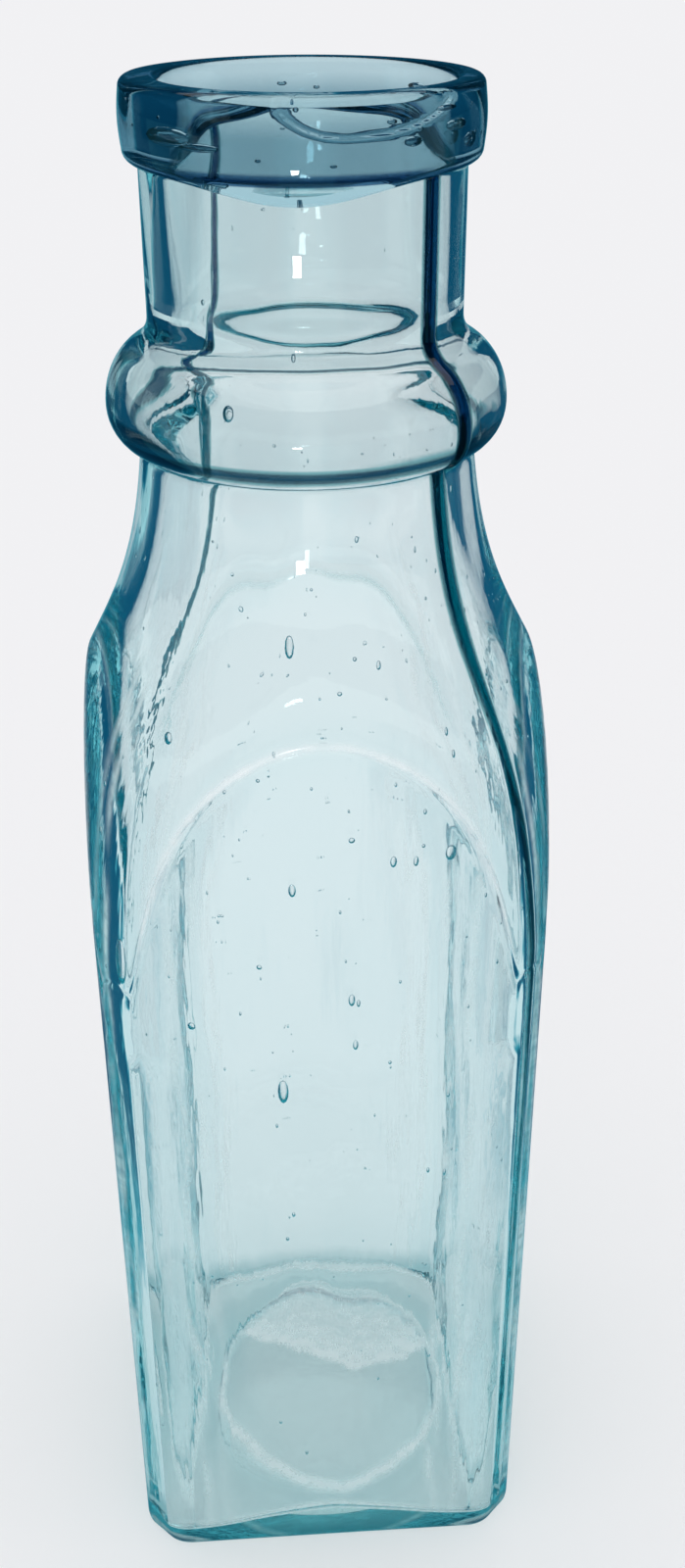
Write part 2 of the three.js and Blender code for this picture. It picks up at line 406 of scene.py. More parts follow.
def softened(line, step, reach, collar_reach, samples=15):
    """A profile in even steps, its sharp turns rounded over one reach, and over another at the collar."""
    length = np.concatenate([[0], np.cumsum(np.linalg.norm(np.diff(line, axis=0), axis=1))])
    even = np.linspace(0, length[-1], int(length[-1] / step))
    height = np.interp(even, length, line[:, 1])
    share = smooth_step(height, RING_LEVEL, NECK_LEVEL - COLLAR_ROOM)
    room = (reach + (collar_reach - reach) * share) / 2
    room = np.minimum(room, np.minimum(even, length[-1] - even))
    places = even[:, None] + np.linspace(-1, 1, samples) * room[:, None]
    return np.column_stack([np.interp(places, length, line[:, k]).mean(axis=1) for k in (0, 1)])


def outer_profile():
    neck = [(NECK_RADIUS, LIP_LEVEL - LIP_SEAT_GAP)]
    line = np.vstack([shoulder_line(0), ring_line(WAIST_RADIUS, NECK_RADIUS, 0), neck])
    return softened(line, OUTER_STEP, WAIST_SOFTENING, COLLAR_SOFTENING)


def inner_profile():
    neck = [(BORE_RADIUS, LIP_LEVEL - LIP_SEAT_GAP)]
    ring = ring_line(WAIST_RADIUS - SHOULDER_WALL, BORE_RADIUS, RING_WALL)
    line = np.vstack([shoulder_line(SHOULDER_WALL), ring, neck])
    return softened(line, INNER_STEP, INNER_SOFTENING, INNER_COLLAR_SOFTENING)


def outer_radius(angle, height):
    """Radius of the outside at one angle and height, without the seams."""
    square = cut_square(np.array([angle]), 0, EDGE_BLEND)[0]
    if height < BODY_HEIGHT:
        return square
    line = outer_profile()
    return smooth_min(square, np.interp(height, line[:, 1], line[:, 0]), ARCH_BLEND)


def ripples(heights, seed, most_turns, length, waves=14):
    """Smooth unevenness from about -1 to 1 round the bottle; length is the height of its shortest wave."""
    chance = random.Random(seed)
    total = 0 * ONES
    for _ in range(waves):
        turns = chance.randint(1, most_turns)
        rise = chance.uniform(-1, 1) * 2 * math.pi / length
        total = total + np.sin(turns * ANGLES + rise * heights + chance.uniform(0, 2 * math.pi))
    return total / math.sqrt(2 * waves)


def seam_ridge(radius, height):
    """How far the two mould seams stand out at each angle of a row."""
    rise = 0 * ONES
    for degrees in SEAM_ANGLES:
        away = np.abs(away_from(degrees)) * radius
        rise = rise + SEAM_HEIGHT * bell(away, SEAM_HALF_WIDTH, power=4)
    return rise * (1 + NECK_SEAM_GAIN * smooth_step(height, SEAM_GAIN_LEVEL, WAIST_LEVEL))


def arch_edge(square):
    """Height of an arch's edge at each angle, and how much taller than wide its close rows are there."""
    line = shoulder_line(0)[::-1]
    height = np.interp(square, line[:, 0], line[:, 1])
    slope = np.gradient(height) / (np.gradient(ANGLES) * square)
    return height, np.minimum(np.sqrt(1 + slope**2), MOST_STRETCH)


def foot_rows(square):
    """The push-up, the flat of the foot and the round of the heel."""
    rows = []
    for share in np.sin(np.linspace(0, math.pi / 2, PUSH_UP_ROWS))[1:]:
        height = PUSH_UP_DEPTH * (1 - share**2) ** PUSH_UP_POWER
        rows.append(ring_points(PUSH_UP_RADIUS * share, height))
    for share in FOOT_SHARES:
        rows.append(ring_points(PUSH_UP_RADIUS + share * (square - HEEL_ROUND - PUSH_UP_RADIUS), 0))
    for turn in np.linspace(0, math.pi / 2, HEEL_ROWS):
        inset = HEEL_ROUND * (1 - math.sin(turn))
        rows.append(ring_points(square - inset, HEEL_ROUND * (1 - math.cos(turn))))
    return rows


def outer_rows():
    """The outside, from the middle of the push-up to the end of the neck."""
    square = cut_square(ANGLES, 0, EDGE_BLEND)
    edge, stretch = arch_edge(square)
    line = outer_profile()
    waist_start = WAIST_LEVEL - WAIST_ROOM
    low = edge - ARCH_ROOM * stretch
    high = edge + ARCH_ROOM * stretch
    heights = [HEEL_ROUND + share * (low - HEEL_ROUND) for share in np.linspace(0, 1, BODY_ROWS)[1:]]
    heights += [edge + step * stretch for step in ARCH_STEPS]
    heights += [high + share * (waist_start - high) for share in np.linspace(0, 1, SHOULDER_ROWS)[1:-1]]
    heights += [height * ONES for height in line[:, 1] if height > waist_start]
    rows = foot_rows(square)
    for height in heights:
        radius = np.interp(height, line[:, 1], line[:, 0])
        row = smooth_min(square, radius, ARCH_BLEND)
        off = (height - edge) / stretch - ARCH_GROOVE_PLACE
        row = row - ARCH_GROOVE * bell(off, ARCH_GROOVE_WIDTH)
        rows.append(ring_points(row + seam_ridge(row, height), height))
    return rows


def floor_height(radius):
    return FLOOR_LEVEL - FLOOR_SAG * (np.abs(radius) / (HALF - BODY_WALL - FLOOR_FILLET)) ** FLOOR_POWER


def uneven(radius, height):
    """A row of the inside with its waves, and with the bore off the middle."""
    wave = INNER_WAVE * ripples(height, *INNER_RIPPLES) * np.minimum(1, radius / BORE_RADIUS)
    shift = BORE_SHIFT * smooth_step(height, BODY_HEIGHT, RING_LEVEL)
    return ring_points(radius + wave, height, shift)


def inner_rows():
    """The inside, from the end of the neck down to the middle of the floor."""
    square = cut_square(ANGLES, BODY_WALL, INNER_CORNER_BLEND)
    rows = [uneven(smooth_min(square, radius * ONES, INNER_BLEND), height * ONES)
            for radius, height in inner_profile()[::-1]]
    top = rows[-1][:, 2]
    fillet = FLOOR_FILLET * (1 - CORNER_FILLET_LOSS * folded(ANGLES) / (math.pi / 4))
    edge = square - fillet
    centre = floor_height(edge) + fillet
    for share in np.linspace(0, 1, INNER_BODY_ROWS)[1:]:
        rows.append(uneven(square, top + share * (centre - top)))
    for turn in np.linspace(0, math.pi / 2, FILLET_ROWS + 1)[1:]:
        rows.append(uneven(edge + fillet * math.cos(turn), centre - fillet * math.sin(turn)))
    for share in np.linspace(1, 0, FLOOR_ROWS + 2)[1:-1]:
        rows.append(uneven(edge * share, floor_height(edge * share)))
    return rows


def lip_edge(radius, height, size, start, shift=0):
    """Rows over a rounded edge: a quarter of a circle about a radius and a height, from a starting turn."""
    rows = []
    for turn in np.linspace(start, start + math.pi / 2, LIP_EDGE_ROWS):
        reach = radius + size * math.cos(turn)
        rows.append(ring_points(reach, height + size * math.sin(turn), shift))
    return rows


def lip_rows():
    """The lip's section round the neck's end: its seat, the drip, the outside, the rim and the mouth."""
    seat = NECK_RADIUS + LIP_SEAT_CLEARANCE
    bottom = LIP_LEVEL - DRIP_DEPTH * bell(away_from(DRIP_ANGLE), math.radians(DRIP_SPREAD))
    outer = LIP_RADIUS - LIP_INSET + LIP_WAVE * ripples(0, *LIP_RIPPLES)
    low = bottom + LIP_LOWER_ROUND
    high = TOP_LEVEL - LIP_UPPER_ROUND
    rows = [ring_points(BORE_RADIUS, LIP_LEVEL, BORE_SHIFT)]
    rows += [ring_points(seat, LIP_LEVEL), ring_points(seat, bottom)]
    rows += lip_edge(outer - LIP_LOWER_ROUND, low, LIP_LOWER_ROUND, -math.pi / 2)
    for share in np.linspace(0, 1, LIP_SIDE_ROWS)[1:-1]:
        bulge = LIP_BULGE * math.sin(math.pi * share)
        rows.append(ring_points(outer + bulge, low + share * (high - low)))
    rows += lip_edge(outer - LIP_UPPER_ROUND, high, LIP_UPPER_ROUND, 0)
    rows += lip_edge(MOUTH_RADIUS + LIP_UPPER_ROUND, high, LIP_UPPER_ROUND, math.pi / 2, BORE_SHIFT)
    return rows + mouth_rows(high)


def mouth_rows(high):
    """The mouth, from under the rim down to the bore, with the tongue of glass at its front."""
    away = away_from(TONGUE_ANGLE)
    reach = 1 - (away / np.radians(np.where(away < 0, *TONGUE_SPREADS))) ** 2
    tongue_edge = high + TONGUE_LIFT - TONGUE_DEPTH * np.sqrt(np.maximum(reach, 0))
    rows = []
    for share in np.linspace(0, 1, MOUTH_ROWS)[1:-1]:
        height = high - share * (high - LIP_LEVEL)
        tongue = TONGUE_THICKNESS * smooth_step(height - tongue_edge, *TONGUE_ROUND) * (reach > 0)
        radius = MOUTH_RADIUS + share * (BORE_RADIUS - MOUTH_RADIUS) - tongue
        rows.append(ring_points(radius + MOUTH_WAVE * ripples(height, *MOUTH_RIPPLES), height, BORE_SHIFT))
    return rows


def grid(rows, poles):
    """Points and faces of rows round the bottle: closed by a pole at each end, or else joined end to end."""
    count = len(ANGLES)
    points = [tuple(point) for row in rows for point in row]
    faces = []
    for i in range(len(rows) - 1 if poles else len(rows)):
        low = i * count
        high = (i + 1) % len(rows) * count
        faces += [(low + j, low + (j + 1) % count, high + (j + 1) % count, high + j) for j in range(count)]
    if poles:
        for row, order in ((0, -1), (len(rows) - 1, 1)):
            points.append((0, 0, float(np.mean(rows[row][:, 2]))))
            middle = len(points) - 1
            start = row * count
            faces += [(start + j, start + (j + 1) % count, middle)[::order] for j in range(count)]
    return points, faces


def add_bubble(points, faces, degrees, height, radius, size):
    """An egg-shaped hollow in the glass, whose faces look into it. Size is across, up and inwards."""
    angle = math.radians(degrees)
    across = np.array([math.cos(angle), math.sin(angle), 0])
    inwards = np.array([-math.sin(angle), math.cos(angle), 0])
    middle = -radius * inwards + np.array([0, 0, height])
    start = len(points)
    for band in range(1, BUBBLE_BANDS):
        tilt = math.pi * band / BUBBLE_BANDS
        for side in range(BUBBLE_SIDES):
            turn = 2 * math.pi * side / BUBBLE_SIDES
            point = middle + 0.5 * (size[0] * math.sin(tilt) * math.cos(turn) * across
                                    + size[2] * math.sin(tilt) * math.sin(turn) * inwards)
            points.append((point[0], point[1], point[2] + 0.5 * size[1] * math.cos(tilt)))
    points.append((middle[0], middle[1], middle[2] + 0.5 * size[1]))
    points.append((middle[0], middle[1], middle[2] - 0.5 * size[1]))
    last = start + (BUBBLE_BANDS - 2) * BUBBLE_SIDES
    for side in range(BUBBLE_SIDES):
        after = (side + 1) % BUBBLE_SIDES
        faces.append((start + after, start + side, len(points) - 2))
        faces.append((last + side, last + after, len(points) - 1))
        for band in range(BUBBLE_BANDS - 2):
            low = start + band * BUBBLE_SIDES
            high = low + BUBBLE_SIDES
            faces.append((low + side, low + after, high + after, high + side))


def add_body_bubbles(points, faces):
    chance = random.Random(SMALL_BUBBLE_SEED)
    for degrees, height, across, up in LARGE_BUBBLES:
        radius = outer_radius(math.radians(degrees), height) - LARGE_BUBBLE_DEPTH
        add_bubble(points, faces, degrees, height, radius, (across, up, LARGE_BUBBLE_FLATNESS * across))
    for _ in range(SMALL_BUBBLES):
        degrees = chance.uniform(0, 360)
        height = chance.triangular(*SMALL_HEIGHTS)
        across = chance.choice(SMALL_SIZES)
        radius = outer_radius(math.radians(degrees), height) - chance.uniform(*SMALL_DEPTHS)
        size = (across, across * chance.uniform(*SMALL_STRETCH), SMALL_FLATNESS * across)
        add_bubble(points, faces, degrees, height, radius, size)


def add_lip_bubbles(points, faces):
    chance = random.Random(LIP_BUBBLE_SEED)
    for degrees, height, across, up, inwards in LIP_HOLLOWS:
        add_bubble(points, faces, degrees, height, LIP_HOLLOW_RADIUS, (across, up, inwards))
    for _ in range(LIP_SMALL_BUBBLES):
        across = chance.uniform(*LIP_SMALL_SIZES)
        radius = chance.uniform(*LIP_SMALL_RADII)
        size = (across * chance.uniform(*LIP_SMALL_STRETCH), across, across)
        degrees = chance.uniform(0, 360)
        height = chance.uniform(*LIP_SMALL_HEIGHTS)
        add_bubble(points, faces, degrees, height, radius, size)


def part_way(share, ends):
    return ends[0] + share * (ends[1] - ends[0])


def front_share(turn):
    """1 at the front, 0 at the back."""
    return 0.5 + 0.5 * np.cos(turn)


def rim_waves(turn, waves):
    """How far a rim waves outwards at each turn."""
    return sum(height * np.sin(crests * turn + start) for height, crests, start in waves)


def border_line(x, middle, swing, shift, length):
    """A border that swings to and fro across the bottle."""
    return middle - swing * np.cos((x - shift) / length)


def foot_frost(x, y):
    """How worn the underside is: round the push-up's rim, and in its back half behind a wavy border."""
    turn = np.arctan2(x, -y)
    inwards = PUSH_UP_RADIUS - FOOT_RIM_INSET + rim_waves(turn, FOOT_RIM_WAVES) - np.hypot(x, y)
    behind = y - border_line(x, *FOOT_BORDER)
    rim = part_way(front_share(turn), FOOT_RIM_STRENGTHS) * bell(inwards, FOOT_RIM_HALF)
    back = FOOT_BACK * smooth_step(behind, -FOOT_BORDER_HALF, FOOT_BORDER_HALF)
    line = FOOT_LINE * bell(behind - FOOT_BORDER_HALF, FOOT_LINE_HALF)
    inside = smooth_step(inwards, 0, FOOT_RIM_FADE)
    return FOOT_WEAR * np.clip(rim + inside * (back + line), 0, 1)


def floor_residue(x, y):
    """The whitish film that dried on the floor inside: a rim, and a hazy part behind a wavy border."""
    across = x - RESIDUE_PLACE[0]
    along = y - RESIDUE_PLACE[1]
    turn = np.arctan2(across, -along)
    front = front_share(turn)
    rim = RESIDUE_RADIUS + RESIDUE_BULGE * np.cos(4 * turn) + rim_waves(turn, RESIDUE_RIM_WAVES)
    inwards = rim - np.hypot(across, along)
    line = part_way(front, RESIDUE_RIM_STRENGTHS) * bell(inwards, part_way(front, RESIDUE_RIM_HALVES))
    crinkle = RESIDUE_CRINKLE * np.sin(x / RESIDUE_CRINKLE_LENGTH)
    behind = y - border_line(x, *RESIDUE_BORDER) - crinkle
    strength = RESIDUE_HAZE + RESIDUE_BORDER_HAZE * np.exp(-np.maximum(behind, 0) / RESIDUE_HAZE_FALL)
    haze = strength * smooth_step(behind, -RESIDUE_BORDER_HALF, RESIDUE_BORDER_HALF)
    inside = smooth_step(inwards, 0, RESIDUE_RIM_FADE)
    return np.clip(line + inside * (haze + RESIDUE_THIN), 0, 1)


def painted_corner_highlights(height):
    """Painted highlights: white wavy streaks down the inside next to its corners."""
    total = 0 * ONES
    for place, width, seed in STREAKS:
        middle = np.radians(place + STREAK_WANDER * ripples(height, seed, *STREAK_PLACE_RIPPLES))
        strength = STREAK_STRENGTH + STREAK_VARIES * ripples(height, seed + 1, *STREAK_STRENGTH_RIPPLES)
        strength = np.clip(strength, 0, STREAK_LIMIT)
        total = total + strength * bell(folded(ANGLES) - middle, math.radians(width))
    return np.clip(total, 0, STREAK_LIMIT) * (1 - smooth_step(height, *STREAK_FADE))


def arch_wear_and_highlight(height, edge, stretch):
    """A whitish line along the arches' edges on the flat sides: partly wear, partly a painted highlight."""
    on_side = 1 - smooth_step(folded(ANGLES), *np.radians(ARCH_WEAR_AND_HIGHLIGHT_END))
    strength = ARCH_WEAR_AND_HIGHLIGHT + ARCH_WEAR_AND_HIGHLIGHT_VARIES * ripples(0, *ARCH_WEAR_AND_HIGHLIGHT_RIPPLES)
    strength = np.clip(strength, *ARCH_WEAR_AND_HIGHLIGHT_LIMITS)
    return strength * bell((height - edge) / stretch, ARCH_WEAR_AND_HIGHLIGHT_HALF) * on_side


def seam_painted_shade(row):
    """Painted shade along the two seams: dark lines that start low on the body and widen up to the neck."""
    height = row[:, 2]
    half = SEAM_SHADE_HALF
    for growth, low, high in SEAM_SHADE_GROWTHS:
        half = half + growth * smooth_step(height, low, high)
    radius = np.hypot(row[:, 0], row[:, 1])
    near = [bell(np.abs(away_from(degrees)) * radius, half, power=10) for degrees in SEAM_ANGLES]
    return sum(near) * smooth_step(height, *SEAM_SHADE_FADE)


def ring_painted_shade(height):
    """Painted shade: a dark line round the ring's underside, and a darker ring and neck."""
    line_level = RING_SHADE_LINE_LEVEL + RING_SHADE_LINE_WAVE * ripples(0, *RING_SHADE_LINE_RIPPLES)
    line_shade = bell(height - line_level, RING_SHADE_LINE_HALF, power=6)
    neck = NECK_SHADE * smooth_step(height, *NECK_SHADE_FADE)
    ring = RING_SHADE * bell(height - RING_LEVEL, RING_SHADE_HALF, power=4)
    return np.maximum(line_shade, neck + ring)


# Painted shade: the heel is darker towards the bottom.
def heel_painted_shade(height):
    return HEEL_SHADE * (1 - smooth_step(height, *HEEL_SHADE_FADE))


def outside_marks(outer):
    """How white each row of the outside is, from wear and a painted highlight, and how dark it is from
    painted shade.
    """
    square = cut_square(ANGLES, 0, EDGE_BLEND)
    edge, stretch = arch_edge(square)
    foot = len(foot_rows(square))
    frost_and_highlight = [foot_frost(row[:, 0], row[:, 1]) for row in outer[:foot]]
    frost_and_highlight += [arch_wear_and_highlight(row[:, 2], edge, stretch) for row in outer[foot:]]
    dark = [0 * ONES] * (foot - HEEL_ROWS)
    dark += [heel_painted_shade(row[:, 2]) for row in outer[foot - HEEL_ROWS:foot]]
    for row in outer[foot:]:
        height = row[:, 2]
        dark.append(np.maximum.reduce([seam_painted_shade(row), ring_painted_shade(height), heel_painted_shade(height)]))
    return frost_and_highlight, dark


def inside_marks(inner):
    """How white each row of the inside is, from its film and from painted highlights, and how wavy it is."""
    floor_rows = FILLET_ROWS + FLOOR_ROWS
    frost_and_highlight = [painted_corner_highlights(row[:, 2]) for row in inner[:-floor_rows]]
    for k, row in enumerate(inner[-floor_rows:]):
        # A painted highlight along the fillet between the walls and the floor.
        fillet = FILLET_HIGHLIGHT * bell(k - FILLET_ROWS / 2, FILLET_HIGHLIGHT_HALF) * (k < FILLET_ROWS)
        frost_and_highlight.append(np.maximum(fillet, floor_residue(row[:, 0], row[:, 1])))
    corner = 1 + CORNER_WAVES * smooth_step(folded(ANGLES), *np.radians(CORNER_WAVES_SPAN))
    wavy = [corner * (1 - WAVES_LOSS * smooth_step(row[:, 2], *WAVES_FADE)) for row in inner]
    return frost_and_highlight, wavy


def body_marks(outer, inner):
    """For each point of the body: how white from wear, film and painted highlights, how dark from painted
    shade, and how wavy it is.
    """
    frost_and_highlight, dark = outside_marks(outer)
    inside_frost_and_highlight, wavy = inside_marks(inner)
    dark_inside = [0 * ONES] * len(inner)
    wavy_outside = [0 * ONES] * len(outer)
    return {"frost_and_highlight": frost_and_highlight + inside_frost_and_highlight, "dark": dark + dark_inside, "wavy": wavy_outside + wavy}


def make_piece(name, points, faces, material, node, marks):
    mesh = bpy.data.meshes.new(name)
    mesh.from_pydata([(x * MM, y * MM, z * MM) for x, y, z in points], [], faces)
    mesh.materials.append(material)
    mesh.shade_smooth()
    for mark, rows in marks.items():
        values = np.zeros(len(points))
        known = np.concatenate(rows)
        values[:len(known)] = known
        mesh.attributes.new(mark, "FLOAT", "POINT").data.foreach_set("value", values)
    piece = bpy.data.objects.new(name, mesh)
    bpy.context.scene.collection.objects.link(piece)
    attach(piece, "root")
    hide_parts(node)


def make_body(material):
    outer, inner = outer_rows(), inner_rows()
    points, faces = grid(outer + inner, True)
    add_body_bubbles(points, faces)
    make_piece("bottle_body", points, faces, material, "blown_body", body_marks(outer, inner))


def make_lip(material):
    points, faces = grid(lip_rows(), False)
    add_lip_bubbles(points, faces)
    make_piece("bottle_lip", points, faces, material, "applied_lip", {})


def attribute(nodes, name):
    node = nodes.new("ShaderNodeAttribute")
    node.attribute_name = name
    return node.outputs["Fac"]


def object_place(nodes):
    return nodes.new("ShaderNodeTexCoord").outputs["Object"]


def coordinates(nodes, links, place):
    """The three coordinates of a place."""
    split = nodes.new("ShaderNodeSeparateXYZ")
    links.new(place, split.inputs["Vector"])
    return split.outputs


def maths(nodes, links, operation, *values):
    """The result of a math node; each value is a number or a socket."""
    node = nodes.new("ShaderNodeMath")
    node.operation = operation
    for socket, value in zip(node.inputs, values):
        if isinstance(value, (int, float)):
            socket.default_value = value
        else:
            links.new(value, socket)
    return node.outputs["Value"]


def share_between(nodes, links, value, low, high, least=0):
    """How far a value has come from low to high, as a share from the least one to 1."""
    node = nodes.new("ShaderNodeMapRange")
    node.inputs["From Min"].default_value = low
    node.inputs["From Max"].default_value = high
    node.inputs["To Min"].default_value = least
    links.new(value, node.inputs["Value"])
    return node.outputs["Result"]


def mixed(nodes, links, share, first, second):
    """A mix of two colours, each of which is a colour or a socket."""
    node = nodes.new("ShaderNodeMix")
    node.data_type = "RGBA"
    links.new(share, node.inputs["Factor"])
    for name, colour in (("A", first), ("B", second)):
        if isinstance(colour, tuple):
            node.inputs[name].default_value = (*colour, 1)
        else:
            links.new(colour, node.inputs[name])
    return node.outputs["Result"]


def colour_ramp(nodes, links, share, stops):
    """A colour that runs through stops, each a share and a colour."""
    ramp = nodes.new("ShaderNodeValToRGB")
    elements = ramp.color_ramp.elements
    for element, (position, colour) in zip(elements, (stops[0], stops[-1])):
        element.position = position
        element.color = (*colour, 1)
    for position, colour in stops[1:-1]:
        elements.new(position).color = (*colour, 1)
    links.new(share, ramp.inputs["Fac"])
    return ramp.outputs["Color"]


def add_frost_and_highlights(nodes, links, glass):
    """Patchy white where the glass is worn or has a film, and where highlights are painted."""
    mottle = nodes.new("ShaderNodeTexNoise")
    mottle.inputs["Scale"].default_value = FROST_AND_HIGHLIGHT_GRAIN
    mottle.inputs["Detail"].default_value = FROST_AND_HIGHLIGHT_GRAIN_DETAIL
    links.new(object_place(nodes), mottle.inputs["Vector"])
    patchy = share_between(nodes, links, mottle.outputs["Fac"], *FROST_AND_HIGHLIGHT_GRAIN_RANGE, FROST_AND_HIGHLIGHT_LEAST)
    frost_and_highlight = maths(nodes, links, "MULTIPLY", attribute(nodes, "frost_and_highlight"), patchy)
    rough = maths(nodes, links, "MULTIPLY", frost_and_highlight, FROST_AND_HIGHLIGHT_ROUGHNESS)
    clear = maths(nodes, links, "MULTIPLY_ADD", frost_and_highlight, -FROST_AND_HIGHLIGHT_OPACITY, 1)
    links.new(rough, glass.inputs["Roughness"])
    links.new(clear, glass.inputs["Transmission Weight"])


def add_painted_shade(nodes, links, glass):
    """Painted shade on the seams, the ring's underside, the neck, ring and heel: first a faint teal, then a
    dark tint that turns to navy at the neck.
    """
    dark = attribute(nodes, "dark")
    height = coordinates(nodes, links, object_place(nodes))["Z"]
    at_neck = share_between(nodes, links, height, *(level * MM for level in NECK_TINT_SPAN))
    faint_share = maths(nodes, links, "MULTIPLY", dark, FAINT_TINT_GAIN)
    faint = mixed(nodes, links, faint_share, CLEAR, FAINT_TINT)
    deep = mixed(nodes, links, at_neck, SHOULDER_TINT, NECK_TINT)
    links.new(mixed(nodes, links, dark, faint, deep), glass.inputs["Base Color"])


def add_waves(nodes, links, glass):
    """Upright waves in the inside."""
    stretch = nodes.new("ShaderNodeMapping")
    stretch.inputs["Scale"].default_value = WAVE_SCALE
    links.new(object_place(nodes), stretch.inputs["Vector"])
    waves = nodes.new("ShaderNodeTexNoise")
    waves.inputs["Scale"].default_value = 1
    waves.inputs["Detail"].default_value = WAVE_DETAIL
    links.new(stretch.outputs["Vector"], waves.inputs["Vector"])
    bump = nodes.new("ShaderNodeBump")
    bump.inputs["Distance"].default_value = WAVE_DEPTH * MM
    strength = maths(nodes, links, "MULTIPLY", attribute(nodes, "wavy"), WAVE_BUMP)
    links.new(strength, bump.inputs["Strength"])
    links.new(waves.outputs["Fac"], bump.inputs["Height"])
    links.new(bump.outputs["Normal"], glass.inputs["Normal"])


def add_lip_tints(nodes, links, glass):
    """The lip is nearly clear in its drip; above that painted shade makes it dark in a line, then deep, and
    painted light makes it lighter at the rim.
    """
    low = LIP_LEVEL - DRIP_DEPTH
    height = coordinates(nodes, links, object_place(nodes))["Z"]
    share = share_between(nodes, links, height, low * MM, TOP_LEVEL * MM)
    stops = [((LIP_LEVEL + above - low) / (TOP_LEVEL - low), tint) for above, tint in LIP_TINTS]
    links.new(colour_ramp(nodes, links, share, stops), glass.inputs["Base Color"])


def aqua_glass(name, colour, density, details):
    """Glass with its details; to lamps and to light from the floor it is a clear, slightly dim sheet."""
    material = bpy.data.materials.new(name)
    material.use_nodes = True
    nodes, links = material.node_tree.nodes, material.node_tree.links
    glass = nodes["Principled BSDF"]
    output = nodes["Material Output"]
    glass.inputs["Roughness"].default_value = 0
    glass.inputs["IOR"].default_value = GLASS_IOR
    glass.inputs["Transmission Weight"].default_value = 1
    for add_detail in details:
        add_detail(nodes, links, glass)
    clear = nodes.new("ShaderNodeBsdfTransparent")
    clear.inputs["Color"].default_value = (*SHADOW_COLOUR, 1)
    path = nodes.new("ShaderNodeLightPath")
    surface = glass.outputs["BSDF"]
    for ray in ("Is Shadow Ray", "Is Diffuse Ray"):
        mix = nodes.new("ShaderNodeMixShader")
        links.new(path.outputs[ray], mix.inputs["Fac"])
        links.new(surface, mix.inputs[1])
        links.new(clear.outputs["BSDF"], mix.inputs[2])
        surface = mix.outputs["Shader"]
    links.new(surface, output.inputs["Surface"])
    depth = nodes.new("ShaderNodeVolumeAbsorption")
    depth.inputs["Color"].default_value = (*colour, 1)
    depth.inputs["Density"].default_value = density
    links.new(depth.outputs["Volume"], output.inputs["Volume"])
    return material


def plain_material(name, colour):
    material = bpy.data.materials.new(name)
    material.use_nodes = True
    shader = material.node_tree.nodes["Principled BSDF"]
    shader.inputs["Base Color"].default_value = (*colour, 1)
    shader.inputs["Roughness"].default_value = STAGE_ROUGHNESS
    shader.inputs["Specular IOR Level"].default_value = 0
    return material


def stage_mesh(name, points, faces, material):
    """A part of the studio, from points in millimetres."""
    mesh = bpy.data.meshes.new(name)
    mesh.from_pydata([Vector(point) * MM for point in points], [], faces)
    mesh.materials.append(material)
    sheet = bpy.data.objects.new(name, mesh)
    bpy.context.scene.collection.objects.link(sheet)
    return sheet


def dark_share(nodes, links):
    """How dark the floor is to each ray.

    To rays that were reflected inside the glass it is dark far off the bottle's corners, so that the edges
    show dark. To rays that the outside reflects it is darker all over, so that they don't wash out the glass.
    """
    position = nodes.new("ShaderNodeNewGeometry").outputs["Position"]
    place = coordinates(nodes, links, position)
    x, y = place["X"], place["Y"]
    crossed = maths(nodes, links, "ABSOLUTE", maths(nodes, links, "MULTIPLY", x, y))
    x_square = maths(nodes, links, "MULTIPLY", x, x)
    y_square = maths(nodes, links, "MULTIPLY", y, y)
    square = maths(nodes, links, "ADD", x_square, y_square)
    slant = maths(nodes, links, "DIVIDE", crossed, square)
    diagonal = share_between(nodes, links, slant, *DARK_DIAGONAL)
    distance = maths(nodes, links, "SQRT", square)
    far = share_between(nodes, links, distance, *(length * MM for length in DARK_DISTANCE))
    path = nodes.new("ShaderNodeLightPath").outputs
    # The depth is a whole number, so this asks for one reflection or more.
    was_reflected = maths(nodes, links, "GREATER_THAN", path["Glossy Depth"], 0.5)
    corner = maths(nodes, links, "MULTIPLY", diagonal, far)
    through = maths(nodes, links, "MULTIPLY", corner, was_reflected)
    outside = maths(nodes, links, "SUBTRACT", path["Is Glossy Ray"], path["Is Transmission Ray"])
    mirrored = maths(nodes, links, "MULTIPLY", outside, FLOOR_MIRROR_DARK)
    return maths(nodes, links, "MAXIMUM", through, mirrored)


def pale_floor():
    material = plain_material("pale_floor", FLOOR_COLOUR)
    nodes, links = material.node_tree.nodes, material.node_tree.links
    stops = [(0, FLOOR_COLOUR), (DARK_BETWEEN_PLACE, DARK_BETWEEN), (1, DARK_COLOUR)]
    colour = colour_ramp(nodes, links, dark_share(nodes, links), stops)
    links.new(colour, nodes["Principled BSDF"].inputs["Base Color"])
    signs = ((-1, -1), (1, -1), (1, 1), (-1, 1))
    corners = [(x * FLOOR_HALF, y * FLOOR_HALF, -FLOOR_DROP) for x, y in signs]
    stage_mesh("floor", corners, [(0, 1, 2, 3)], material)


def dark_band(name, span, seen_through_glass):
    """A dark wall far round the bottle, above the horizon, which only the glass shows, along its edges."""
    heights = [DARK_RADIUS * math.tan(rise) for rise in span]
    turns = np.linspace(0, 2 * math.pi, DARK_SIDES + 1)
    points = [(DARK_RADIUS * math.cos(turn), DARK_RADIUS * math.sin(turn), height)
              for height in heights for turn in turns]
    count = len(turns)
    faces = [(k, k + 1, count + k + 1, count + k) for k in range(DARK_SIDES)]
    band = stage_mesh(name, points, faces, plain_material(name, DARK_COLOUR))
    band.visible_camera = False
    band.visible_diffuse = False
    band.visible_shadow = False
    band.visible_transmission = seen_through_glass


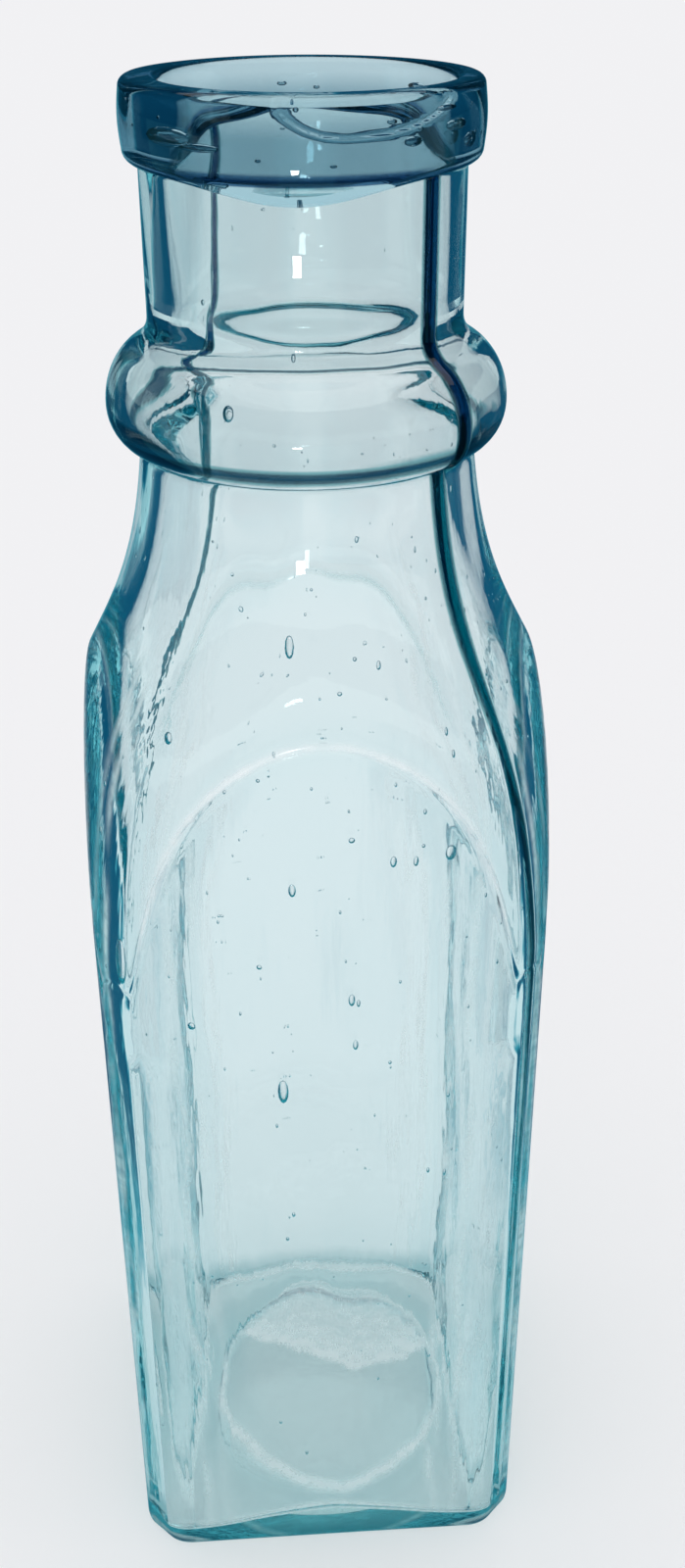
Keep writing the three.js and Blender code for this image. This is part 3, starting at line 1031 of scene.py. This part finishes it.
def soft_light():
    world = bpy.data.worlds.new("studio")
    bpy.context.scene.world = world
    world.use_nodes = True
    background = world.node_tree.nodes["Background"]
    background.inputs["Color"].default_value = (*WORLD_COLOUR, 1)
    background.inputs["Strength"].default_value = WORLD_STRENGTH
    lamp = bpy.data.lights.new("key", "AREA")
    lamp.shape = "RECTANGLE"
    lamp.size = KEY_SIZE[0] * MM
    lamp.size_y = KEY_SIZE[1] * MM
    lamp.energy = KEY_POWER
    key = bpy.data.objects.new("key", lamp)
    key.location = Vector(KEY_PLACE) * MM
    key.rotation_euler = (Vector(KEY_AIM) - Vector(KEY_PLACE)).to_track_quat("-Z", "Y").to_euler()
    bpy.context.scene.collection.objects.link(key)


def set_camera():
    forward = Vector((math.sin(CAMERA_AZIMUTH) * math.cos(CAMERA_DOWN),
                      math.cos(CAMERA_AZIMUTH) * math.cos(CAMERA_DOWN), -math.sin(CAMERA_DOWN)))
    level = Vector((math.cos(CAMERA_AZIMUTH), -math.sin(CAMERA_AZIMUTH), 0))
    right = math.cos(CAMERA_ROLL) * level + math.sin(CAMERA_ROLL) * level.cross(forward)
    data = bpy.data.cameras.new("camera")
    data.lens = data.sensor_width * CAMERA_FOCUS / IMAGE_HEIGHT
    data.clip_start = CAMERA_CLIP * MM
    camera = bpy.data.objects.new("camera", data)
    turn = Matrix((right, right.cross(forward), -forward)).transposed()
    camera.matrix_world = Matrix.Translation(Vector(CAMERA_PLACE) * MM) @ turn.to_4x4()
    bpy.context.scene.collection.objects.link(camera)
    bpy.context.scene.camera = camera


def render_settings():
    scene = bpy.context.scene
    scene.view_settings.view_transform = "Standard"
    scene.cycles.max_bounces = MOST_BOUNCES
    scene.cycles.transmission_bounces = MOST_BOUNCES
    scene.cycles.glossy_bounces = MOST_BOUNCES
    scene.cycles.transparent_max_bounces = MOST_BOUNCES


make_body(aqua_glass("aqua_glass", BODY_GLASS, BODY_DENSITY, [add_frost_and_highlights, add_painted_shade, add_waves]))
make_lip(aqua_glass("deep_aqua_glass", LIP_GLASS, LIP_DENSITY, [add_lip_tints]))
pale_floor()
dark_band("dark_band", DARK_SPAN, True)
dark_band("dark_rim", DARK_RIM_SPAN, False)
soft_light()
set_camera()
render_settings()
